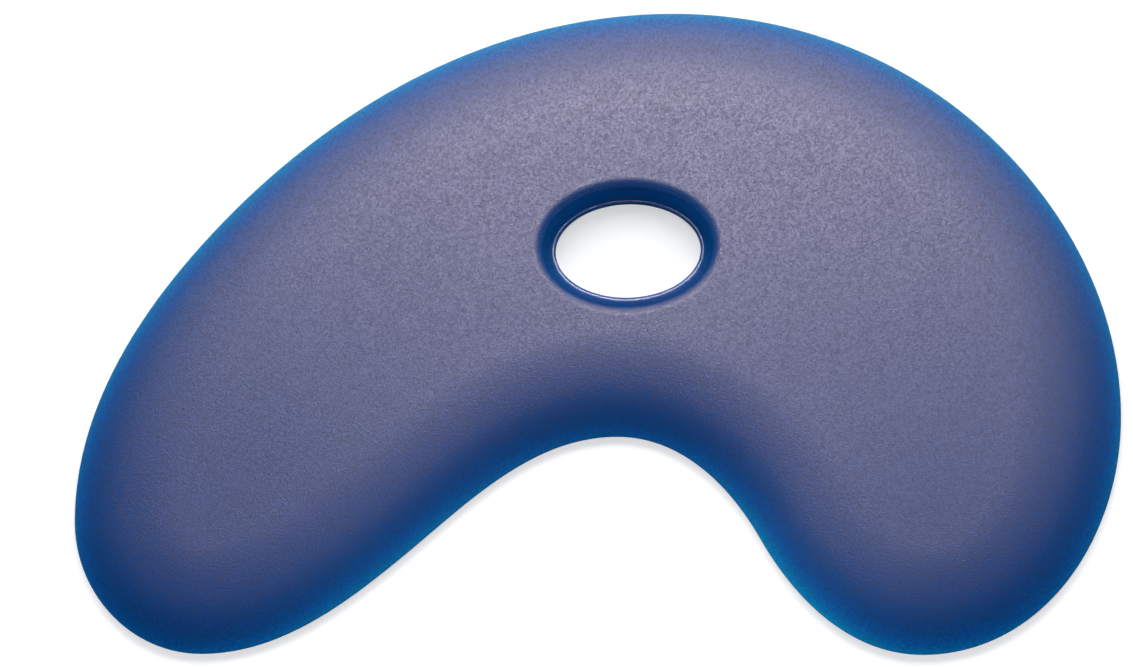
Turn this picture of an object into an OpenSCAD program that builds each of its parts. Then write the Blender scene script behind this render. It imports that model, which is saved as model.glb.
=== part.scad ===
// Potter's rib: a kidney-shaped shaping tool, moulded in one piece of blue polyurethane rubber.
// It lies on its flat back. X runs from the tail to the nose, Y from the feet to the crown, Z up.
// The middle of its length and width, on the back, is the origin.

/* [Body] */
// Length from the end of the tail to the end of the nose
rib_length = 123.8; // [116:0.2:132]
// Width from the feet to the crown of the back
rib_width = 76.2; // [72:0.2:82]
// Thickness of the flat middle
rib_thickness = 6.4; // [5:0.1:9]

/* [Working edge] */
// Thickness of the rim that meets the clay
rim_thickness = 1.6; // [0.9:0.1:2.4]
// Radius on the rim's back and front corners
rim_round = 0.4; // [0.1:0.05:0.42]
// Width of the margin that thins from the flat middle to the rim
taper_width = 12.5; // [8:0.5:13.5]
// Fullness of the margin: 1 is a straight slope, more is a rounder one
taper_fullness = 2; // [1.6:0.1:3]
// Width of the bevel that steepens the margin beside the rim
bevel_width = 7; // [4:0.5:8]
// Height that the bevel adds to the margin
bevel_rise = 2.3; // [1:0.1:2.5]
// Fullness of the bevel
bevel_fullness = 3.1; // [2:0.1:4]

/* [Back] */
// Crown of the back, right of the middle of the length
crown_x = 8.9; // [4:0.1:14]
// Shoulder between crown and nose: how far in from the end of the nose
shoulder_in = 16.6; // [13:0.1:19]
// Shoulder: how far below the crown
shoulder_drop = 13.6; // [11:0.1:17]
// Shoulder: slope of the edge there, in degrees
shoulder_slope = 41.8; // [34:0.2:48]
// Flank between tail and crown: how far in from the end of the tail
flank_in = 13.3; // [10:0.1:16]
// Flank: how far below the crown
flank_drop = 29.4; // [26:0.1:33]
// Flank: slope of the edge there, in degrees
flank_slope = 49.7; // [44:0.1:56]

/* [Nose] */
// End of the nose, the furthest point right: how far below the crown
nose_drop = 48; // [43:0.2:53]
// Lowest point of the nose: how far in from its end
nose_foot_in = 23.5; // [21:0.1:25.5]
// Inner side of the nose: how far in from the end of the nose
nose_side_in = 42.7; // [40.5:0.1:45]
// Inner side of the nose: how far above the feet
nose_side_rise = 13.8; // [11:0.1:17]
// Inner side of the nose: slope of the edge there, in degrees
nose_side_slope = 60.4; // [52:0.2:68]

/* [Belly] */
// Top of the hollow between the lobes, right of the middle of the length
belly_x = 2.3; // [0:0.1:5]
// Top of the hollow: how far above the feet
belly_rise = 25.9; // [23:0.1:28]

/* [Tail] */
// Inner side of the tail: how far in from the end of the tail
tail_side_in = 38.8; // [35:0.1:43]
// Inner side of the tail: how far above the feet
tail_side_rise = 11.7; // [9:0.1:14]
// Inner side of the tail: slope of the edge there, in degrees
tail_side_slope = 39.6; // [34:0.2:45]
// Lowest point of the tail: how far in from its end
tail_foot_in = 15; // [14:0.1:19]
// Lowest point of the tail: how far above the foot of the nose
tail_foot_rise = 0.2; // [0:0.1:2]
// End of the tail, the furthest point left: how far above the feet
tail_end_rise = 15.9; // [14:0.1:19]

/* [Finger hole] */
// Length of the oval hole
hole_length = 17.2; // [12:0.1:20]
// Width of the oval hole
hole_width = 11.2; // [8:0.1:13]
// Middle of the hole, right of the middle of the rib
hole_x = 3.6; // [0:0.1:8]
// Middle of the hole: how far below the crown
hole_drop = 28.2; // [26:0.1:30]
// Turn of the hole from the length of the rib, in degrees
hole_turn = 1.9; // [-5:0.1:10]
// Height of the straight lip at the back of the hole
lip_height = 1.3; // [0.8:0.1:2]
// Width of the ledge on the lip, round the foot of the funnel
lip_ledge = 0.35; // [0.2:0.05:0.8]
// Lean of the funnel's wall out from upright, in degrees
funnel_lean = 14.5; // [8:0.5:25]
// Radius that rolls the funnel's wall over into the flat middle
funnel_round = 1.25; // [0.6:0.05:2]

/* [Fineness] */
// Longest step along the outline
outline_step = 2.4; // [2:0.1:5]
// Steps in the rise of the margin
taper_steps = 12; // [6:1:14]
// Steps round the hole
hole_steps = 72; // [40:4:96]
// Steps round each small corner
corner_steps = 3; // [2:1:4]
// Steps round the roll of the funnel
funnel_steps = 5; // [3:1:8]

/* [Hidden] */

nose_end = rib_length/2;
tail_end = -rib_length/2;
crown_y = rib_width/2;
feet_y = -rib_width/2;

// The outline runs clockwise from the crown. A knot is [x, y, heading], and the body is on its right.
outline_knots = [
    [crown_x, crown_y, 0],
    [nose_end - shoulder_in, crown_y - shoulder_drop, -shoulder_slope],
    [nose_end, crown_y - nose_drop, -90],
    [nose_end - nose_foot_in, feet_y, -180],
    [nose_end - nose_side_in, feet_y + nose_side_rise, -180 - nose_side_slope],
    [belly_x, feet_y + belly_rise, -180],
    [tail_end + tail_side_in, feet_y + tail_side_rise, -180 + tail_side_slope],
    [tail_end + tail_foot_in, feet_y + tail_foot_rise, -180],
    [tail_end, feet_y + tail_end_rise, -270],
    [tail_end + flank_in, crown_y - flank_drop, -360 + flank_slope]
];

// Unit vector along a heading
function along(heading) = [cos(heading), sin(heading)];

// The same angle, between -180 and 180
function wrapped(angle) = angle - 360*floor((angle + 180)/360);

// Length of a curve's handle, as a share of its chord, that makes the roundest curve.
// It is known from the angles at which the curve leaves and joins the chord.
function handle_share(leave, join) =
    let (
        swing = (sin(leave) - sin(join)/16)*(sin(join) - sin(leave)/16)*(cos(leave) - cos(join)),
        spread = 1 + (sqrt(5) - 1)/2*cos(leave) + (3 - sqrt(5))/2*cos(join)
    )
    (2 + sqrt(2)*swing)/(3*spread);

// Point of a curve with ends a and d and handle points b and c, where t goes from 0 to 1
function curve_point(a, b, c, d, t) =
    pow(1 - t, 3)*a + 3*pow(1 - t, 2)*t*b + 3*(1 - t)*t*t*c + t*t*t*d;

// Direction in which that curve runs there
function curve_run(a, b, c, d, t) =
    pow(1 - t, 2)*(b - a) + 2*(1 - t)*t*(c - b) + t*t*(d - c);

// Stations on the curve from one knot up to the next, each [point, unit vector into the body]
function stations(from, to) =
    let (
        start = [from[0], from[1]],
        end = [to[0], to[1]],
        chord = norm(end - start),
        bearing = atan2(end[1] - start[1], end[0] - start[0]),
        leave = wrapped(from[2] - bearing),
        join = wrapped(bearing - to[2]),
        start_handle = start + chord*handle_share(leave, join)*along(from[2]),
        end_handle = end - chord*handle_share(join, leave)*along(to[2]),
        steps = ceil(chord/outline_step)
    )
    [
        for (i = [0:steps - 1])
        let (
            point = curve_point(start, start_handle, end_handle, end, i/steps),
            run = curve_run(start, start_handle, end_handle, end, i/steps)
        )
        [point, [run[1], -run[0]]/norm(run)]
    ];

outline = [
    for (i = [0:len(outline_knots) - 1])
    each stations(outline_knots[i], outline_knots[(i + 1) % len(outline_knots)])
];

// The outline drawn in by a distance, at a height
function inset_ring(inset, z) = [
    for (station = outline)
    let (point = station[0] + inset*station[1])
    [point[0], point[1], z]
];

// Two rises make the margin: a short, steep bevel at the rim, and a wide, shallow one that levels
// out where it meets the flat middle.
wide_rise = rib_thickness - rim_thickness - bevel_rise;

// Share of a rise that is reached at a distance in from the rim
function risen(inset, width, fullness) = 1 - pow(1 - min(inset/width, 1), fullness);

function margin_height(inset) =
    rim_thickness
    + bevel_rise*risen(inset, bevel_width, bevel_fullness)
    + wide_rise*risen(inset, taper_width, taper_fullness);

// Slope of the margin where it meets the rim, and the roll from the rim's wall over to it
rim_slope = atan(bevel_rise*bevel_fullness/bevel_width + wide_rise*taper_fullness/taper_width);
rim_roll = 90 - rim_slope;
front_corner_z = rim_thickness - rim_round*tan(rim_roll/2);
front_corner_end = rim_round*(1 - cos(rim_roll));

// Half section of the body as [inset, height]: the back's corner, the front's corner, the margin
back_corner = [
    for (i = [0:corner_steps])
    let (turn = 90*i/corner_steps)
    [rim_round*(1 - sin(turn)), rim_round*(1 - cos(turn))]
];
front_corner = [
    for (i = [0:corner_steps])
    let (turn = rim_roll*i/corner_steps)
    [rim_round*(1 - cos(turn)), front_corner_z + rim_round*sin(turn)]
];
margin = [
    for (i = [1:taper_steps])
    let (inset = front_corner_end + (taper_width - front_corner_end)*i/taper_steps)
    [inset, margin_height(inset)]
];
body_section = concat(back_corner, front_corner, margin);

// Half section of the cut for the finger hole as [distance out from the oval, height].
// It passes the back straight, and leaves through the front along the roll's last step.
cut_margin = 1;
funnel_slope = 90 - funnel_lean;
roll_foot_z = rib_thickness - funnel_round*(1 - cos(funnel_slope));
roll_foot_out = lip_ledge + (roll_foot_z - lip_height)*tan(funnel_lean);
roll_end_out = roll_foot_out + funnel_round*sin(funnel_slope);
function roll_point(slope) =
    [roll_end_out - funnel_round*sin(slope), rib_thickness - funnel_round*(1 - cos(slope))];
funnel_roll = [for (i = [0:funnel_steps - 1]) roll_point(funnel_slope*(1 - i/funnel_steps))];
way_out = 2*roll_point(0) - funnel_roll[funnel_steps - 1];
hole_section = concat(
    [[0, -cut_margin], [0, lip_height], [lip_ledge, lip_height]],
    funnel_roll,
    [way_out, way_out + [0, cut_margin]]
);

// The oval of the finger hole drawn out by a distance, at a height, clockwise
function oval_ring(out, z) = [
    for (i = [0:hole_steps - 1])
    let (
        turn = -360*i/hole_steps,
        point = [hole_length/2*cos(turn), hole_width/2*sin(turn)],
        normal = [hole_width*cos(turn), hole_length*sin(turn)],
        drawn = point + out*normal/norm(normal)
    )
    [drawn[0], drawn[1], z]
];

// Solid through a stack of rings, lowest first, each clockwise seen from above
module loft(rings) {
    count = len(rings[0]);
    top = count*(len(rings) - 1);
    walls = [
        for (k = [0:len(rings) - 2], i = [0:count - 1])
        let (
            low = count*k + i,
            low_next = count*k + (i + 1) % count,
            high = low + count,
            high_next = low_next + count
        )
        each [[low, low_next, high_next], [low, high_next, high]]
    ];
    floor_face = [for (i = [count - 1:-1:0]) i];
    roof_face = [for (i = [0:count - 1]) top + i];
    polyhedron(points = [for (ring = rings) each ring], faces = concat([floor_face], walls, [roof_face]));
}

module rib_blank() {
    loft([for (p = body_section) inset_ring(p[0], p[1])]);
}

module finger_hole() {
    translate([hole_x, crown_y - hole_drop, 0])
    rotate([0, 0, hole_turn])
    loft([for (p = hole_section) oval_ring(p[0], p[1])]);
}

module rib_body() {
    color([0.16, 0.24, 0.47])
    difference() {
        rib_blank();
        finger_hole();
    }
}

rib_body();
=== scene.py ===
from math import atan, cos, degrees, exp, pi, radians, sin, sqrt, tan

import bmesh
import bpy
import numpy as np
from mathutils import Matrix, Vector


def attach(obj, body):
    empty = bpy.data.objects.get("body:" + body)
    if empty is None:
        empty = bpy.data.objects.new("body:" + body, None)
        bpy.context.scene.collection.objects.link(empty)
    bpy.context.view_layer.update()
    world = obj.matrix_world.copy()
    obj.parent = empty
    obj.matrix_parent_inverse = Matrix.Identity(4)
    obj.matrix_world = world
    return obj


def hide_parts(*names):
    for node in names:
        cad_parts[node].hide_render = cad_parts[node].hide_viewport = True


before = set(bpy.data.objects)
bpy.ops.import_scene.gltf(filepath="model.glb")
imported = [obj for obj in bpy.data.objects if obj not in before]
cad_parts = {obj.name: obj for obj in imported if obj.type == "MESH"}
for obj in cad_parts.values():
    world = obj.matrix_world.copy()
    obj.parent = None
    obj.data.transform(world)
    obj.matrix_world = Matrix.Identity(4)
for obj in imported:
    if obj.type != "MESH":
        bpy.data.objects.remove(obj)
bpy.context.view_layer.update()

MM = 0.001

# The camera.
# It hangs 1.4 m over the table with a long lens, leaning a little towards the feet and the nose.
# X runs from the tail to the nose, Y from the feet to the crown, and Z up out of the back.
aim = Vector((-3.72*MM, 0.14*MM, 0))
lean_to_feet = radians(5.17)
lean_to_nose = radians(0.88)
stand_off = 1.4
lens_length = 375.2

look_back = Vector((sin(lean_to_nose), -sin(lean_to_feet), 0))
look_back.z = sqrt(1 - look_back.length_squared)
image_right = Vector((0, 1, 0)).cross(look_back).normalized()
image_up = look_back.cross(image_right)

camera_data = bpy.data.cameras.new("camera")
camera_data.lens = lens_length
camera_data.clip_start = 0.05
camera = bpy.data.objects.new("camera", camera_data)
camera.matrix_world = Matrix.Translation(aim + stand_off*look_back) @ Matrix(
    (image_right, image_up, look_back)).transposed().to_4x4()
bpy.context.scene.collection.objects.link(camera)
bpy.context.scene.camera = camera


# The rib.
# One moulding of translucent blue polyurethane: a flat back, a full-thickness middle, a margin that
# thins to the working edge all round, and an oval finger hole with a funnel mouth.
# Sizes are in millimetres, as in the part's source.
rib_length = 123.8
rib_width = 76.2
rib_thickness = 6.4
rim_thickness = 1.6
rim_round = 0.4
taper_width = 12.5
taper_fullness = 2
bevel_width = 7
bevel_rise = 2.3
bevel_fullness = 3.1

nose_end = rib_length/2
tail_end = -rib_length/2
crown_y = rib_width/2
feet_y = -rib_width/2

# Knots of the outline, clockwise from the crown: x, y, heading in degrees
outline_knots = [
    (8.9, crown_y, 0),
    (nose_end - 16.6, crown_y - 13.6, -41.8),
    (nose_end, crown_y - 48, -90),
    (nose_end - 23.5, feet_y, -180),
    (nose_end - 42.7, feet_y + 13.8, -240.4),
    (2.3, feet_y + 25.9, -180),
    (tail_end + 38.8, feet_y + 11.7, -140.4),
    (tail_end + 15, feet_y + 0.2, -180),
    (tail_end, feet_y + 15.9, -270),
    (tail_end + 13.3, crown_y - 29.4, -310.3),
]


def along(heading):
    return np.array((cos(radians(heading)), sin(radians(heading))))


def wrapped(angle):
    return (angle + 180) % 360 - 180


def handle_share(leave, join):
    """Length of a curve's handle, as a share of its chord, that makes the roundest curve."""
    leave = radians(leave)
    join = radians(join)
    swing = (sin(leave) - sin(join)/16)*(sin(join) - sin(leave)/16)*(cos(leave) - cos(join))
    spread = 1 + (sqrt(5) - 1)/2*cos(leave) + (3 - sqrt(5))/2*cos(join)
    return (2 + sqrt(2)*swing)/(3*spread)


# Stations round the outline: place, unit vector into the body, and knot number with its fraction
outline_step = 0.6
places = []
inwards = []
knot_counts = []
for number, knot in enumerate(outline_knots):
    following = outline_knots[(number + 1) % len(outline_knots)]
    start = np.array(knot[:2])
    end = np.array(following[:2])
    chord = np.linalg.norm(end - start)
    bearing = degrees(np.arctan2(end[1] - start[1], end[0] - start[0]))
    leave = wrapped(knot[2] - bearing)
    join = wrapped(bearing - following[2])
    start_handle = start + chord*handle_share(leave, join)*along(knot[2])
    end_handle = end - chord*handle_share(join, leave)*along(following[2])
    steps = int(np.ceil(chord/outline_step))
    t = (np.arange(steps)/steps)[:, None]
    places.append((1 - t)**3*start + 3*(1 - t)**2*t*start_handle
                  + 3*(1 - t)*t*t*end_handle + t**3*end)
    run = ((1 - t)**2*(start_handle - start) + 2*(1 - t)*t*(end_handle - start_handle)
           + t*t*(end - end_handle))
    run /= np.linalg.norm(run, axis=1)[:, None]
    inwards.append(np.column_stack((run[:, 1], -run[:, 0])))
    knot_counts.append(number + t[:, 0])
places = np.concatenate(places)
inwards = np.concatenate(inwards)
knot_counts = np.concatenate(knot_counts)

# Clearness of the rim, as a share of the clearest blue, with painted light in it. The rim is
# painted lighter where it faces the crown, towards the lamps, and darkest where it faces the feet,
# away from them; it is also lighter on both sides of the belly's hollow.
facing_crown = -inwards[:, 1]
facing_nose = -inwards[:, 0]


def near_knot(middle, reach):
    """1 at a knot count, and less the further a station is from it. The reach is in knots too."""
    half_way = len(outline_knots)/2
    apart = (knot_counts - middle + half_way) % len(outline_knots) - half_way
    return np.exp(-(apart/reach)**2)


hollow_nose_side = 0.74*near_knot(3.65, 0.66)
hollow_tail_side = 0.33*near_knot(6.1, 0.6)
flank = 0.18*near_knot(9.2, 0.65)
# The facing_crown terms are painted light from the lamps beyond the crown
rim_clearness_and_painted_light = (0.48 + 0.3*facing_crown + 0.07*facing_crown**2 + 0.08*facing_nose
             + hollow_nose_side + hollow_tail_side + flank)

wide_rise = rib_thickness - rim_thickness - bevel_rise


def margin_height(inset):
    """Height of the margin: a short, steep bevel at the rim and a wide, shallow rise."""
    steep = 1 - (1 - min(inset/bevel_width, 1))**bevel_fullness
    shallow = 1 - (1 - min(inset/taper_width, 1))**taper_fullness
    return rim_thickness + bevel_rise*steep + wide_rise*shallow


# Half section of the body, from the back round the rim up to the flat middle: inset, height
rim_slope = atan(bevel_rise*bevel_fullness/bevel_width + wide_rise*taper_fullness/taper_width)
rim_roll = pi/2 - rim_slope
front_corner_z = rim_thickness - rim_round*tan(rim_roll/2)
front_corner_end = rim_round*(1 - cos(rim_roll))
corner_steps = 8
margin_steps = 40
margin_crowding = 1.25  # sets the rings of the margin closer together near the rim
back_insets = (taper_width, 9, 7, 5, 4, 3, 2.2, 1.5, 1.0, 0.65)

body_section = [(inset, 0.0) for inset in back_insets]
for i in range(corner_steps + 1):
    turn = pi/2*i/corner_steps
    body_section.append((rim_round*(1 - sin(turn)), rim_round*(1 - cos(turn))))
for i in range(corner_steps + 1):
    turn = rim_roll*i/corner_steps
    body_section.append((rim_round*(1 - cos(turn)), front_corner_z + rim_round*sin(turn)))
for i in range(1, margin_steps + 1):
    share = (i/margin_steps)**margin_crowding
    inset = front_corner_end + (taper_width - front_corner_end)*share
    body_section.append((inset, margin_height(inset)))
# A narrow flat border keeps the shading of the flat middle even
flat_border = 0.05
body_section.append((taper_width + flat_border, rib_thickness))

# The finger hole: an oval, its lip, the ledge on the lip and the funnel rolled into the middle
hole_length = 17.2
hole_width = 11.2
hole_middle = np.array((3.6, crown_y - 28.2))
hole_turn = radians(1.9)
lip_height = 1.3
lip_ledge = 0.35
lip_round = 0.3
lip_round_steps = 6
funnel_lean = radians(14.5)
funnel_round = 1.25
funnel_round_steps = 16
hole_stations = 240
funnel_slope = pi/2 - funnel_lean
roll_foot_z = rib_thickness - funnel_round*(1 - cos(funnel_slope))
roll_foot_out = lip_ledge + (roll_foot_z - lip_height)*tan(funnel_lean)
roll_end_out = roll_foot_out + funnel_round*sin(funnel_slope)

# Half section of the hole, from the flat middle down to the back: distance out, height
hole_section = [(roll_end_out + flat_border, rib_thickness)]
for i in range(funnel_round_steps + 1):
    slope = funnel_slope*i/funnel_round_steps
    hole_section.append((roll_end_out - funnel_round*sin(slope),
                         rib_thickness - funnel_round*(1 - cos(slope))))
for share in (0.25, 0.5, 0.75):
    hole_section.append((roll_foot_out + (lip_ledge - roll_foot_out)*share,
                         roll_foot_z + (lip_height - roll_foot_z)*share))
hole_section.append((lip_ledge, lip_height))
for i in range(lip_round_steps + 1):
    turn = pi/2*i/lip_round_steps
    hole_section.append((lip_round*(1 - sin(turn)), lip_height - lip_round*(1 - cos(turn))))
for share in (0.6, 0.3, 0):
    hole_section.append((0, lip_height*share))


# Angles of the stations round the hole, clockwise from its end towards the nose
hole_turns = -2*pi*np.arange(hole_stations)/hole_stations


def oval_ring(out, z):
    """The hole's oval at height z, moved outwards by a distance."""
    point = np.column_stack((hole_length/2*np.cos(hole_turns), hole_width/2*np.sin(hole_turns)))
    normal = np.column_stack((hole_width*np.cos(hole_turns), hole_length*np.sin(hole_turns)))
    drawn = point + out*normal/np.linalg.norm(normal, axis=1)[:, None]
    turned = drawn @ np.array(((cos(hole_turn), sin(hole_turn)), (-sin(hole_turn), cos(hole_turn))))
    return np.column_stack((turned + hole_middle, np.full(hole_stations, z)))


body_rings = [np.column_stack((places + inset*inwards, np.full(len(places), z)))
              for inset, z in body_section]
hole_rings = [oval_ring(out, z) for out, z in hole_section]

# How much light comes through at each vertex, with the painted light of the rim's clearness in it:
# most at the clear rim, fading as the margin thickens
fade_thickness = 1.4
fade_tail = 0.03
body_light = []
for inset, z in body_section:
    light = exp((rim_thickness - margin_height(inset))/fade_thickness) - fade_tail
    body_light.append(rim_clearness_and_painted_light*max(0, light))

# The funnel is deep blue too, with painted light: lighter at both ends of the oval and on the wall
# that faces the crown lamps, and painted shade on the wall below the crown, which faces away from
# them
funnel_clearness_and_painted_light = (0.1 - 0.04*np.sin(hole_turns) - 0.025*np.cos(hole_turns)
                    + 0.13*np.cos(hole_turns)**2)
hole_depths = [min(1, (rib_thickness - z)/funnel_round) for out, z in hole_section]
hole_light = [funnel_clearness_and_painted_light*depth for depth in hole_depths]

# The hole is smoother than the face, as the pin that forms it is: 0 for satin, 1 for smooth
body_polish = [np.zeros(len(places)) for ring in body_rings]
hole_polish = [np.full(hole_stations, depth) for depth in hole_depths]

rib_mesh = bmesh.new()


def add_sleeve(rings):
    """Vertices of a stack of rings, joined by a sleeve of four-sided faces."""
    stack = [[rib_mesh.verts.new(point*MM) for point in ring] for ring in rings]
    for low, high in zip(stack, stack[1:]):
        for i in range(len(low)):
            following = (i + 1) % len(low)
            rib_mesh.faces.new((low[i], low[following], high[following], high[i]))
    return stack


def ring_edges(ring):
    return [rib_mesh.edges.get((vert, ring[(i + 1) % len(ring)])) for i, vert in enumerate(ring)]


body_stack = add_sleeve(body_rings)
hole_stack = add_sleeve(hole_rings)
middle_edges = ring_edges(body_stack[-1]) + ring_edges(hole_stack[0])
back_edges = ring_edges(body_stack[0]) + ring_edges(hole_stack[-1])
for edges in (middle_edges, back_edges):
    bmesh.ops.triangle_fill(rib_mesh, use_beauty=True, edges=edges)
bmesh.ops.recalc_face_normals(rib_mesh, faces=rib_mesh.faces)
rib_mesh.verts.index_update()
open_edges = [edge for edge in rib_mesh.edges if not edge.is_manifold]
assert not open_edges, "the rib's skin has open edges"

rib_data = bpy.data.meshes.new("rib")
rib_mesh.to_mesh(rib_data)
rib_mesh.free()
crease_angle = radians(40)
rib_data.shade_smooth()
rib_data.set_sharp_from_angle(angle=crease_angle)
light_through = rib_data.attributes.new("light_through", "FLOAT", "POINT")
light_through.data.foreach_set("value", np.concatenate(body_light + hole_light).astype(np.float32))
polish = rib_data.attributes.new("polish", "FLOAT", "POINT")
polish.data.foreach_set("value", np.concatenate(body_polish + hole_polish).astype(np.float32))
rib = bpy.data.objects.new("rib", rib_data)
bpy.context.scene.collection.objects.link(rib)

# Satin polyurethane: deep blue where it is thick, clear blue at the thin rim, with a fine grain
rubber = bpy.data.materials.new("satin_blue_polyurethane")
rubber.use_nodes = True
nodes = rubber.node_tree.nodes
links = rubber.node_tree.links
shader = nodes["Principled BSDF"]
shader.inputs["IOR"].default_value = 1.65
shader.inputs["Specular IOR Level"].default_value = 1.0
shader.inputs["Specular Tint"].default_value = (1.0, 0.83, 0.82, 1.0)

through = nodes.new("ShaderNodeAttribute")
through.attribute_name = "light_through"
blues = nodes.new("ShaderNodeValToRGB")
# From the deep blue of the thick middle to the clear blue of the thinnest rubber. Through
# light_through the ramp also paints light into the colour: rims lighter towards the crown, and the
# lit wall of the funnel lighter than its shaded wall.
blue_stops = [
    (0.0, (0.001, 0.030, 0.137, 1)),
    (0.05, (0.001, 0.045, 0.187, 1)),
    (0.115, (0.001, 0.064, 0.262, 1)),
    (0.215, (0.001, 0.094, 0.345, 1)),
    (0.32, (0.001, 0.125, 0.400, 1)),
    (0.44, (0.001, 0.161, 0.440, 1)),
    (0.675, (0.001, 0.222, 0.540, 1)),
    (1.0, (0.001, 0.307, 0.680, 1)),
]
for i, (position, blue) in enumerate(blue_stops):
    stop = blues.color_ramp.elements[i] if i < 2 else blues.color_ramp.elements.new(position)
    stop.position = position
    stop.color = blue
links.new(through.outputs["Fac"], blues.inputs["Fac"])

# Fine specks, a fifth of a millimetre across, vary the depth of the blue. A bright speck is also
# smoother, so that the sheen stays as blue or as pale as its surroundings.
spot = nodes.new("ShaderNodeTexCoord")
specks = nodes.new("ShaderNodeTexVoronoi")
specks.inputs["Scale"].default_value = 5000
links.new(spot.outputs["Object"], specks.inputs["Vector"])
speck_depth = nodes.new("ShaderNodeMapRange")
speck_depth.inputs["To Min"].default_value = 0.62
speck_depth.inputs["To Max"].default_value = 1.34
links.new(specks.outputs["Color"], speck_depth.inputs["Value"])
speckled_blue = nodes.new("ShaderNodeVectorMath")
speckled_blue.operation = "SCALE"
links.new(blues.outputs["Color"], speckled_blue.inputs["Vector"])
links.new(speck_depth.outputs["Result"], speckled_blue.inputs["Scale"])
links.new(speckled_blue.outputs["Vector"], shader.inputs["Base Color"])

satin = nodes.new("ShaderNodeMapRange")
satin.inputs["To Min"].default_value = 0.66
satin.inputs["To Max"].default_value = 0.38
links.new(specks.outputs["Color"], satin.inputs["Value"])
smoothness = nodes.new("ShaderNodeAttribute")
smoothness.attribute_name = "polish"
roughness = nodes.new("ShaderNodeMapRange")
roughness.inputs["To Max"].default_value = 0.30
links.new(smoothness.outputs["Fac"], roughness.inputs["Value"])
links.new(satin.outputs["Result"], roughness.inputs["To Min"])
links.new(roughness.outputs["Result"], shader.inputs["Roughness"])

# A weak bump under the specks, 0.04 mm deep
grain = nodes.new("ShaderNodeTexNoise")
grain.inputs["Scale"].default_value = 5500
grain.inputs["Detail"].default_value = 2
links.new(spot.outputs["Object"], grain.inputs["Vector"])
grain_bump = nodes.new("ShaderNodeBump")
grain_bump.inputs["Strength"].default_value = 1.0
grain_bump.inputs["Distance"].default_value = 0.04*MM
links.new(grain.outputs["Fac"], grain_bump.inputs["Height"])
links.new(grain_bump.outputs["Normal"], shader.inputs["Normal"])

rib_data.materials.append(rubber)
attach(rib, "root")
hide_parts("rib_body")


# The table.
# A plain white sheet a hair below the rib's back. It takes the rib's shadow, and looks pure white
# away from it.
table_half = 1.5
table_drop = 0.02
table_data = bpy.data.meshes.new("table")
table_data.from_pydata(
    [(-table_half, -table_half, 0), (table_half, -table_half, 0),
     (table_half, table_half, 0), (-table_half, table_half, 0)], [], [(0, 1, 2, 3)])
table = bpy.data.objects.new("table", table_data)
table.location = (0, 0, -table_drop*MM)
bpy.context.scene.collection.objects.link(table)
table.visible_glossy = False
table.visible_diffuse = False
white = bpy.data.materials.new("white_table")
white.use_nodes = True
white_shader = white.node_tree.nodes["Principled BSDF"]
white_shader.inputs["Base Color"].default_value = (0.62, 0.62, 0.62, 1)
white_shader.inputs["Roughness"].default_value = 0.9
white_shader.inputs["Specular IOR Level"].default_value = 0.0
# Only the camera sees the table's own glow, so none of it falls on the rib
seen = white.node_tree.nodes.new("ShaderNodeLightPath")
lift = white.node_tree.nodes.new("ShaderNodeMath")
lift.operation = "MULTIPLY"
lift.inputs[1].default_value = 0.45
white.node_tree.links.new(seen.outputs["Is Camera Ray"], lift.inputs[0])
white.node_tree.links.new(lift.outputs["Value"], white_shader.inputs["Emission Strength"])
white_shader.inputs["Emission Color"].default_value = (1, 1, 1, 1)
table_data.materials.append(white)


# The light.
# Two softboxes give the sheen: a small one close over the crown and a wide one low beyond it. Four
# diffusers, beyond the crown, the feet and both ends, give plain light and the soft shadow.
def add_softbox(name, middle, width, depth, tip, roll, radiance):
    """A lamp that hangs level, then tips about X and rolls about Y."""
    lamp = bpy.data.lights.new(name, "AREA")
    lamp.shape = "RECTANGLE"
    lamp.size = width
    lamp.size_y = depth
    lamp.energy = radiance*4*width*depth
    box = bpy.data.objects.new(name, lamp)
    box.location = middle
    box.rotation_euler = (radians(tip), radians(roll), 0)
    box.visible_camera = False
    bpy.context.scene.collection.objects.link(box)
    return box


softboxes = [
    add_softbox("key_softbox", (0.006, 0.057, 0.150), 0.122, 0.033, 0, 0, 13.0),
    add_softbox("wide_softbox", (0.060, 0.570, 0.130), 0.814, 0.787, -14.8, 0, 1.36),
]
for softbox in softboxes:
    softbox.visible_diffuse = False
diffusers = [
    add_softbox("crown_diffuser", (0.0, 0.5, 0.65), 0.8, 0.5, -38, 0, 5.4),
    add_softbox("feet_diffuser", (0.0, -0.6, 0.35), 0.9, 0.5, 60, 0, 1.9),
    add_softbox("tail_diffuser", (-0.6, 0.0, 0.35), 0.5, 0.9, 0, -60, 0.7),
    add_softbox("nose_diffuser", (0.6, 0.0, 0.35), 0.5, 0.9, 0, 60, 0.5),
]
for diffuser in diffusers:
    diffuser.visible_glossy = False
# Without this a lamp still shows in the kind of reflection that it is hidden from
for lamp in softboxes + diffusers:
    lamp.data.cycles.use_multiple_importance_sampling = False

# The room round it: white to the camera, and dark to the rib
world = bpy.data.worlds.new("studio")
world.use_nodes = True
room = world.node_tree.nodes["Background"]
room.inputs["Color"].default_value = (1, 1, 1, 1)
room_path = world.node_tree.nodes.new("ShaderNodeLightPath")
world.node_tree.links.new(room_path.outputs["Is Camera Ray"], room.inputs["Strength"])
bpy.context.scene.world = world
bpy.context.scene.view_settings.view_transform = "Standard"
